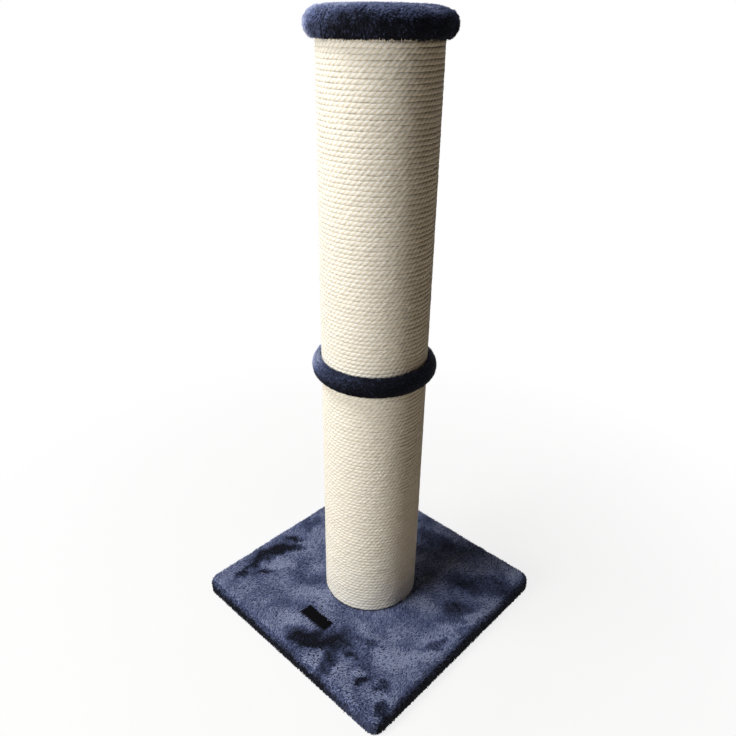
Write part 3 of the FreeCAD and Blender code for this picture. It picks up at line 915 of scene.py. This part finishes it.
def base_nap(points, normals):
    """Way and shade of the base's pile: one lie, stirred by noise and by brushed places, with painted
    shade in those places and down the sides, and painted light on part of the front side.
    """
    heading = settings("plush").heading
    against_lie = np.array([-math.cos(heading), -math.sin(heading), 0])
    turn = lie_of_pile(points, 2.2)
    way = np.stack([np.cos(turn), np.sin(turn), 0 * turn], axis=1)
    shade = TOP_SHADE + patches(points, (0.4, 38, 5.5, 1), (0.12, 13, 6.5, 2))
    ragged = BRUSHED_STRAY * drift(points, BRUSHED_STRAY_SIZE, 9.1)
    for x, y, length, width, degrees, darker in BRUSHED:
        angle = math.radians(degrees)
        east = points[:, 0] - x * MM + ragged[:, 0]
        north = points[:, 1] - y * MM + ragged[:, 1]
        ahead = (east * math.cos(angle) + north * math.sin(angle)) / (length * MM)
        aside = (north * math.cos(angle) - east * math.sin(angle)) / (width * MM)
        weight = np.exp(-(ahead ** 2 + aside ** 2) ** 2)
        against = max(darker, 0) * weight[:, None]
        way = way * (1 - against) + 2 * against * against_lie
        shade = shade - BRUSHED_PAINTED_SHADE * darker * weight

    # Down the sides the pile hangs, and it is painted darker there as painted shade, least at the
    # front's right end, which gets painted light
    upright = np.clip(normals[:, 2], 0, 1)[:, None]
    way = way * upright + np.array([0, 0, -1.0]) * (1 - upright)
    front_lit = (points[:, 1] < FRONT_SIDE) * smooth_step(points[:, 0], FRONT_LIGHT_FROM, FRONT_LIGHT_TO)
    shaded_sides = FRONT_PAINTED_LIGHT * front_lit + SIDE_PAINTED_SHADE
    shade = shade * upright[:, 0] + shaded_sides * (1 - upright[:, 0])
    return way, shade


def roll_skin(name, back, front, low, high):
    """Skin of a half-round roll round the post."""
    middle = (low + high) / 2
    clear_selection()
    bpy.ops.mesh.primitive_circle_add(vertices=36, radius=1, location=(back, 0, middle),
                                      rotation=(math.pi / 2, 0, 0))
    thing = new_piece(name, (front - back, (high - low) / 2, 1))
    bpy.ops.object.mode_set(mode="EDIT")
    pick(thing, "verts", lambda vert: vert.co.x < back - NEAR)
    bpy.ops.mesh.delete(type="VERT")
    pick(thing, "verts", lambda vert: vert.co.x < back + NEAR)
    bpy.ops.mesh.edge_face_add()
    spin_skin()
    return thing


def spin_skin():
    """Spin the profile in edit mode once round the post, and close it."""
    bpy.ops.mesh.select_all(action="SELECT")
    bpy.ops.mesh.spin(steps=ROUND_STEPS, angle=2 * math.pi, center=(0, 0, 0), axis=(0, 0, 1))
    bpy.ops.mesh.select_all(action="SELECT")
    bpy.ops.mesh.remove_doubles(threshold=2 * NEAR)
    face_outwards()
    bpy.ops.object.mode_set(mode="OBJECT")


def furrowed(thing, depth, size, salt, least):
    """Press soft furrows into a roll, across it, and keep it clear of the rope inside it."""
    points = points_of(thing.data)
    post = np.hypot(points[:, 0], points[:, 1])
    compass = np.arctan2(points[:, 1], points[:, 0])
    rim = post.max()
    across = np.stack([rim * np.cos(compass), rim * np.sin(compass), FURROW_RISE * points[:, 2]],
                      axis=1)
    fold = drift(across, size, salt)[:, 0] + 0.5 * drift(across, size / 2, salt + 1)[:, 1]
    out = smooth_step(post, least + FURROW_START, rim)
    post_new = np.maximum(post + depth * fold * out, np.where(post > least - INNER_WALL, least, 0))
    points[:, :2] *= (post_new / np.maximum(post, 1e-9))[:, None]
    set_points(thing.data, points)


def collar_nap(points, normals):
    """The collar's pile lies round the post and a little down, and its shade holds painted shade and
    painted light.
    """
    fall, stray, stray_size = 0.5, 0.5, 30 * MM
    painted_top_light, painted_shade_loss, painted_light_gain, painted_light_reach = 0.12, 0.4, 1.3, 34
    compass = np.arctan2(points[:, 1], points[:, 0])
    way = np.stack([-np.sin(compass), np.cos(compass), 0 * compass - fall], axis=1)
    way += stray * drift(points, stray_size, 1.9)
    level = np.clip(normals[:, 2], -0.3, 1)
    # Painted shade darkens the roll and the side that faces the front, and painted light brightens its
    # top and one side
    shade = ROLL_PAINTED_SHADE + painted_top_light * level + patches(points, (0.1, 24, 7.7, 0))
    shade -= painted_shade_loss * painted_side(compass, SHADE_PAINTED_SIDE, SHADE_PAINTED_REACH)
    light = painted_side(compass, LIGHT_PAINTED_SIDE, painted_light_reach)
    shade += painted_light_gain * light * smooth_step(normals[:, 2], -0.4, 0.5)
    return way, shade


def painted_side(compass, heading, reach):
    """How far each point lies in a side that gets painted shade or painted light. heading and reach are
    degrees.
    """
    turn = (np.degrees(compass) - heading + 180) % 360 - 180
    return np.exp(-(turn / reach) ** 2)


def dress_padded(skin, pile, node):
    """Finish a stuffed cover and its pile, in place of a node."""
    dress(skin, bpy.data.materials["plush_backing"])
    # Collar and cap pile take the copy of the plush without gleam, which stands for painted shade
    dress(pile, bpy.data.materials["hanging_plush"])
    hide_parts(node)


def cap_skin():
    """Skin of the cap: a fat rolled rim, a low crown, and a recess for the head of the post."""
    low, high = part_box("cap_plush_cover")
    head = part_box("upper_sisal_rope")[1]
    swelling, skirt_gap, recess_gap = 1.2 * MM, 1.2 * MM, 1 * MM
    tucked, crown = 3 * MM, 2 * MM
    slack = settings("plush").standing + swelling
    radius = (high.z - crown - low.z - tucked) / 2 - slack
    line = high.x - radius - slack
    middle = high.z - crown - slack - radius
    skirt = head.x + skirt_gap
    recess = head.z + recess_gap
    clear_selection()
    bpy.ops.mesh.primitive_circle_add(vertices=48, radius=radius, location=(line, 0, middle),
                                      rotation=(math.pi / 2, 0, 0))
    thing = new_piece("cap_cover")
    bpy.ops.object.mode_set(mode="EDIT")
    pick(thing, "verts", lambda vert: vert.co.x < line - NEAR
         or vert.co.z < middle and vert.co.x < skirt)
    bpy.ops.mesh.delete(type="VERT")

    # The crown rises from the rim to the axis, and the recess runs up and in to the axis
    rings = 14
    pick(thing, "verts", lambda vert: vert.co.x < line + NEAR and vert.co.z > middle)
    for ring in range(rings):
        outer, inner = 1 - ring / rings, 1 - (ring + 1) / rings
        rise = crown * (outer ** 2 - inner ** 2)
        bpy.ops.mesh.extrude_region_move(
            TRANSFORM_OT_translate={"value": (-line / rings, 0, rise)})
    body = bmesh.from_edit_mesh(thing.data)
    lowest = min((vert for vert in body.verts if vert.co.z < middle), key=lambda vert: vert.co.x)
    start = lowest.co.copy()
    pick(thing, "verts", lambda vert: (vert.co - start).length < NEAR)
    bpy.ops.mesh.extrude_region_move(
        TRANSFORM_OT_translate={"value": (skirt - start.x, 0, recess - start.z)})
    bpy.ops.mesh.extrude_region_move(TRANSFORM_OT_translate={"value": (-skirt, 0, 0)})
    spin_skin()
    return thing


def cap_nap(points, normals):
    """The cap's pile lies one way over the crown, as on the base, and hangs down round the rim."""
    fall, stray, stray_size = 1.1, 0.4, 26 * MM
    painted_shade_loss, painted_light_gain, painted_light_reach = 0.35, 1.4, 32
    compass = np.arctan2(points[:, 1], points[:, 0])
    level = np.clip(normals[:, 2], 0, 1)
    turn = lie_of_pile(points, 3.1)
    way = np.stack([np.cos(turn) * level, np.sin(turn) * level, level - fall], axis=1)
    way += stray * drift(points, stray_size, 3.1)
    crown = CROWN_SHADE + patches(points, (0.4, 38, 6.1, 1))
    # Painted shade darkens the rim and its side that faces the front, and painted light brightens one
    # side; the crown keeps the pile's own tone
    dark = painted_side(compass, SHADE_PAINTED_SIDE, SHADE_PAINTED_REACH)
    light = painted_side(compass, LIGHT_PAINTED_SIDE, painted_light_reach)
    shade = ROLL_PAINTED_SHADE + (crown - ROLL_PAINTED_SHADE) * level ** 2 - painted_shade_loss * dark * (1 - level)
    shade += patches(points, (0.2, 22, 8.8, 0), (0.1, 9, 2.8, 1))
    shade += light * (painted_light_gain + patches(points, (1, 14, 5.2, 2))) * (1 - level ** 4)
    return way, shade


# Operators


class SCRATCHER_OT_wind_rope(bpy.types.Operator):
    """Wind sisal rope on both tubes"""

    bl_idname = "scratcher.wind_rope"
    bl_label = "Wind rope"

    def execute(self, context):
        material = sisal_material()
        rope_on("lower", material, salt=0.0)
        rope_on("upper", material, salt=5.0)
        return {"FINISHED"}


class SCRATCHER_OT_cover_base(bpy.types.Operator):
    """Stretch plush over the base and turn it under"""

    bl_idname = "scratcher.cover_base"
    bl_label = "Cover base"

    def execute(self, context):
        plush = settings("plush")
        skin = base_skin()
        low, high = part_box("base_plush_cover")
        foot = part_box("lower_sisal_rope")[1].x
        label_low, label_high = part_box("base_label")
        side_depth, foot_overlap = 9 * MM, 0.5 * MM
        inner_side = high.x - plush.standing - side_depth

        # Where the top ends and the sides begin, by height and by how far a face's normal rises
        rim, level = high.z - 6 * MM, 0.6

        # Room that the pile leaves beside and before the label, and how far it grows under its back
        label_aside, label_before, label_under = 1.5 * MM, 5 * MM, 1 * MM

        def outside(points, facing):
            reach = np.maximum(np.abs(points[:, 0]), np.abs(points[:, 1]))
            outwards = np.sum(facing[:, :2] * points[:, :2], axis=1) > 0
            shown = (facing[:, 2] > level) & (points[:, 2] > rim)
            shown |= (np.abs(facing[:, 2]) <= level) & (reach > inner_side) & outwards
            shown &= np.hypot(points[:, 0], points[:, 1]) > foot - foot_overlap
            on_label = np.abs(points[:, 0]) < label_high.x + label_aside
            on_label &= points[:, 1] > label_low.y - label_before
            on_label &= points[:, 1] < label_high.y - label_under
            return shown & ~on_label

        def quarter(east, north):
            def covered(points, facing):
                shown = outside(points, facing) & (points[:, 2] > rim)
                return shown & (east * points[:, 0] >= 0) & (north * points[:, 1] > 0)
            return covered

        def sides(points, facing):
            return outside(points, facing) & (points[:, 2] <= rim)

        brushed = plush_material("polyester_plush", gleam=0.5)
        # A copy of the plush without gleam, for painted shade on the sides, the collar and the cap
        shaded_sides = plush_material("hanging_plush", gleam=0.0)
        areas = {"front_left": quarter(-1, -1), "front_right": quarter(1, -1),
                 "back_left": quarter(-1, 1), "back_right": quarter(1, 1), "sides": sides}
        piles = [plant_pile(f"base_pile_{name}", skin, covered, base_nap, seed=11 + index)
                 for index, (name, covered) in enumerate(areas.items())]
        dress(skin, backing_material())
        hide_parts("base_plush_cover")
        for thing in piles[:-1]:
            dress(thing, brushed)
        dress(piles[-1], shaded_sides)
        return {"FINISHED"}


class SCRATCHER_OT_sew_label(bpy.types.Operator):
    """Sew the blank woven label to the base"""

    bl_idname = "scratcher.sew_label"
    bl_label = "Sew label"

    def execute(self, context):
        label = settings("label")
        low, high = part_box("base_label")
        middle = (low + high) / 2
        length, width = high.x - low.x, high.y - low.y
        clear_selection()
        bpy.ops.mesh.primitive_grid_add(x_subdivisions=54, y_subdivisions=20, size=1,
                                        location=(middle.x, middle.y, high.z))
        ribbon = new_piece("label_ribbon", (length, width, 1))
        points = points_of(ribbon.data)
        edge = np.minimum(length / 2 - np.abs(points[:, 0] - middle.x),
                          width / 2 - np.abs(points[:, 1] - middle.y))

        # The ribbon waves a little, and the stitches draw it down in a narrow groove
        wave, wave_size, groove_width = 0.35 * MM, 12 * MM, 0.9 * MM
        drawn = np.exp(-((edge - label.inset) / groove_width) ** 2)
        points[:, 2] += wave * (drift(points, wave_size, 1.1)[:, 2] - drawn)
        set_points(ribbon.data, points)
        finish_modifier(ribbon, "SOLIDIFY", thickness=label.thickness, offset=-1)
        finish_modifier(ribbon, "SUBSURF", levels=1, render_levels=1)
        only(ribbon)
        bpy.ops.object.shade_smooth()

        stitches = self.stitch_round(middle, length, width, high.z)
        dress(ribbon, woven_material("woven_ribbon", tuple(label.ribbon), thread_mm=0.6))
        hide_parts("base_label")
        dress(stitches, woven_material("sewing_thread", tuple(label.sewing), thread_mm=0.4))
        return {"FINISHED"}

    def stitch_round(self, middle, length, width, level):
        """A row of stitches round the label, near its edge."""
        label = settings("label")
        clear_selection()
        bpy.ops.mesh.primitive_uv_sphere_add(segments=8, ring_count=5, radius=0.5)
        stitch = new_piece("stitch")
        shape = points_of(stitch.data) * np.array([label.stitch, label.thread, label.thread])
        places = []
        half_length = length / 2 - label.inset
        half_width = width / 2 - label.inset
        step_share, sunk = 1.35, 0.15 * MM
        step = step_share * label.stitch
        for half, across, turned in ((half_length, half_width, False), (half_width, half_length, True)):
            count = round(2 * half / step)
            for index in range(count):
                along = -half + (index + 0.5) * 2 * half / count
                for side in (-across, across):
                    place = shape[:, [1, 0, 2]] if turned else shape
                    east, north = (side, along) if turned else (along, side)
                    places.append(place + np.array([middle.x + east, middle.y + north, level - sunk]))
        thing = copies_of(stitch, "label_stitches", np.array(places))
        delete(stitch)
        return thing


class SCRATCHER_OT_wrap_collar(bpy.types.Operator):
    """Wrap the joint in a stuffed plush roll"""

    bl_idname = "scratcher.wrap_collar"
    bl_label = "Wrap collar"

    def execute(self, context):
        low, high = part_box("collar_plush_cover")
        rope_gap, swelling, sag, fineness = 0.3 * MM, 0.8 * MM, 2 * MM, 0.8
        sewn_depth, bare_depth = 2 * MM, 1 * MM
        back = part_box("upper_sisal_rope")[1].x + rope_gap
        slack = settings("plush").standing * fineness + swelling
        skin = roll_skin("collar_cover", back, high.x - slack, low.z + slack - sag, high.z - slack)

        def sewn(points):
            return np.hypot(points[:, 0], points[:, 1]) < back + sewn_depth

        def outside(points, facing):
            return np.hypot(points[:, 0], points[:, 1]) > back + bare_depth

        swollen(skin, sewn, most=swelling, voxel=3 * MM)
        furrowed(skin, depth=0.7 * MM, size=22 * MM, salt=4.4, least=back)
        pile = plant_pile("collar_pile", skin, outside, collar_nap, seed=21, fineness=fineness)
        dress_padded(skin, pile, "collar_plush_cover")
        return {"FINISHED"}


class SCRATCHER_OT_pad_cap(bpy.types.Operator):
    """Cover the cap with padded plush"""

    bl_idname = "scratcher.pad_cap"
    bl_label = "Pad cap"

    def execute(self, context):
        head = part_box("upper_sisal_rope")[1]
        sewn_height, sewn_depth, bare_depth, rope_gap = 4 * MM, 3 * MM, 1.8 * MM, 0.6 * MM
        recess = head.z + sewn_height
        skin = cap_skin()

        def sewn(points):
            post = np.hypot(points[:, 0], points[:, 1])
            return (post < head.x + sewn_depth) & (points[:, 2] < recess)

        def outside(points, facing):
            post = np.hypot(points[:, 0], points[:, 1])
            return (points[:, 2] > recess) | (post > head.x + bare_depth)

        swollen(skin, sewn, most=1.2 * MM, voxel=4 * MM)
        furrowed(skin, depth=1.5 * MM, size=26 * MM, salt=6.1, least=head.x + rope_gap)
        pile = plant_pile("cap_pile", skin, outside, cap_nap, seed=31, fineness=0.95)
        dress_padded(skin, pile, "cap_plush_cover")
        return {"FINISHED"}


class SCRATCHER_OT_finish_frame(bpy.types.Operator):
    """Finish the boards, tubes, foam and fasteners"""

    bl_idname = "scratcher.finish_frame"
    bl_label = "Finish frame"

    def execute(self, context):
        finishes = {"board": fibreboard_material(), "cardboard": cardboard_material(),
                    "foam": foam_material(), "steel": zinc_material()}
        for part in frame["record"]["subparts"]:
            finish = finishes.get(part["material_slot"])
            if finish:
                thing = frame["nodes"][part["node"]]
                thing.data.materials.clear()
                thing.data.materials.append(finish)
        return {"FINISHED"}


# Lamps: name, the setting of its level, turn from the camera's side and rise in degrees, side in metres
LAMPS = (
    ("key_light", "key", -54, 16, 0.9),
    ("high_light", "high", -78, 62, 0.8),
    ("back_light", "back", 172, -5, 0.5),
)
LAMP_REACH = 2.4
LAMP_AIM = Vector((0, 0, 0.4))

SENSOR_WIDTH = 36

FLOOR_SIDE = 24
FLOOR_LEVEL = -0.2 * MM

# The paper shows white by itself, least within this reach of the post, where it takes the shadow
SHADOW_REACH = 0.3
WHITE_REACH = 0.9
SHADOW_WHITE = 0.84
WHITE = linear("#ffffff")


class SCRATCHER_OT_set_stage(bpy.types.Operator):
    """Set the floor, lamps and camera"""

    bl_idname = "scratcher.set_stage"
    bl_label = "Set stage"

    def execute(self, context):
        stage = settings("stage")
        clear_selection()
        bpy.ops.mesh.primitive_plane_add(size=FLOOR_SIDE, location=(0, 0, FLOOR_LEVEL))
        floor = new_piece("floor")
        floor.data.materials.append(self.paper_material())
        self.light_world()
        for name, setting, turn, rise, side in LAMPS:
            self.add_lamp(name, getattr(stage, setting), turn, rise, side)
        self.add_camera()
        context.scene.view_settings.view_transform = "Standard"
        return {"FINISHED"}

    def add_lamp(self, name, level, turn, rise, side):
        """Soft square lamp, turned from the camera's side, that lights a face to a level."""
        compass = settings("stage").place - math.pi / 2 + math.radians(turn)
        tilt = math.radians(rise)
        away = Vector((math.cos(compass) * math.cos(tilt), math.sin(compass) * math.cos(tilt),
                       math.sin(tilt)))
        bpy.ops.object.light_add(type="AREA", location=LAMP_AIM + away * LAMP_REACH,
                                 rotation=away.to_track_quat("Z", "Y").to_euler())
        lamp = bpy.context.object
        lamp.name = name
        lamp.data.shape = "SQUARE"
        lamp.data.size = side
        lamp.data.energy = level * (math.pi * LAMP_REACH) ** 2

    def add_camera(self):
        """Camera at the height, place and turn that the settings give."""
        stage = settings("stage")
        place = Vector((stage.reach * math.sin(stage.place), -stage.reach * math.cos(stage.place),
                        stage.height))
        turn = (Matrix.Rotation(stage.heading, 4, "Z")
                @ Matrix.Rotation(math.pi / 2 - stage.dip, 4, "X")
                @ Matrix.Rotation(stage.roll, 4, "Z"))
        bpy.ops.object.camera_add()
        camera = bpy.context.object
        camera.matrix_world = Matrix.Translation(place) @ turn
        camera.data.lens = stage.lens
        camera.data.sensor_width = SENSOR_WIDTH
        bpy.context.scene.camera = camera

    def seen(self, tree):
        """1 for rays that show the background, straight or in a shiny face."""
        path = add(tree, "LightPath").outputs
        total = add(tree, "Math", {"operation": "ADD"}, _0=path["Is Camera Ray"],
                    _1=path["Is Glossy Ray"]).outputs["Value"]
        return add(tree, "Math", {"operation": "ADD", "use_clamp": True}, _0=total,
                   _1=path["Is Transmission Ray"]).outputs["Value"]

    def paper_material(self):
        """Matt white paper, shown nearly white with the post's soft shadow on it."""
        stage = settings("stage")
        material, tree = new_material("white_paper")
        place = add(tree, "TexCoord").outputs["Object"]
        grain = add(tree, "TexNoise", Vector=place, Scale=cycles_per_metre(4))
        tone = colour_ramp(tree, grain.outputs["Fac"], ((0.0, stage.paper), (1.0, WHITE)))
        shaded = add(tree, "BsdfDiffuse", Color=tone)
        glow = add(tree, "Emission", Color=WHITE, Strength=1.0)
        away = add(tree, "VectorMath", {"operation": "LENGTH"}, _0=place)
        share = add(tree, "MapRange", Value=away.outputs["Value"], From_Min=SHADOW_REACH,
                    From_Max=WHITE_REACH, To_Min=SHADOW_WHITE, To_Max=1.0)
        pale = add(tree, "MixShader", Fac=share.outputs["Result"], _1=shaded.outputs["BSDF"],
                   _2=glow.outputs["Emission"])
        dim = add(tree, "BsdfDiffuse", Color=stage.bounce)
        both = add(tree, "MixShader", Fac=self.seen(tree), _1=dim.outputs["BSDF"],
                   _2=pale.outputs["Shader"])
        add(tree, "OutputMaterial", Surface=both.outputs["Shader"])
        return material

    def light_world(self):
        """White where it is seen, and a low even light elsewhere."""
        stage = settings("stage")
        world = bpy.data.worlds.new("studio")
        world.use_nodes = True
        bpy.context.scene.world = world
        tree = world.node_tree
        tree.nodes.clear()
        seen = self.seen(tree)
        strength = add(tree, "MapRange", Value=seen, To_Min=stage.sky, To_Max=1.0)
        warm = add(tree, "Mix", {"data_type": "RGBA"}, _0=seen, _6=stage.sky_tint, _7=WHITE)
        light = add(tree, "Background", Color=warm.outputs[2], Strength=strength.outputs["Result"])
        add(tree, "OutputWorld", Surface=light.outputs["Background"])


OPERATORS = (SCRATCHER_OT_wind_rope, SCRATCHER_OT_cover_base, SCRATCHER_OT_sew_label,
             SCRATCHER_OT_wrap_collar, SCRATCHER_OT_pad_cap, SCRATCHER_OT_finish_frame,
             SCRATCHER_OT_set_stage)


class SCRATCHER_PT_panel(bpy.types.Panel):
    """Sizes, colours and steps of the scratching post"""

    bl_idname = "SCRATCHER_PT_panel"
    bl_label = "Scratching post"
    bl_space_type = "VIEW_3D"
    bl_region_type = "UI"
    bl_category = "Scratcher"

    def draw(self, context):
        for group, kind in SETTINGS.items():
            box = self.layout.box()
            box.label(text=group.title())
            for name in kind.__annotations__:
                box.prop(settings(group), name)
        for operator in OPERATORS:
            self.layout.operator(operator.bl_idname)


CLASSES = (*SETTINGS.values(), *OPERATORS, SCRATCHER_PT_panel)


def register():
    for kind in CLASSES:
        bpy.utils.register_class(kind)
    for group, kind in SETTINGS.items():
        setattr(bpy.types.Scene, f"scratcher_{group}", PointerProperty(type=kind))


def unregister():
    for group in SETTINGS:
        delattr(bpy.types.Scene, f"scratcher_{group}")
    for kind in reversed(CLASSES):
        bpy.utils.unregister_class(kind)


def main():
    register()
    noise.seed_set(DRIFT_SEED)
    bpy.ops.scratcher.wind_rope()
    bpy.ops.scratcher.cover_base()
    bpy.ops.scratcher.sew_label()
    bpy.ops.scratcher.wrap_collar()
    bpy.ops.scratcher.pad_cap()
    bpy.ops.scratcher.finish_frame()
    bpy.ops.scratcher.set_stage()


if __name__ == "__main__":
    main()
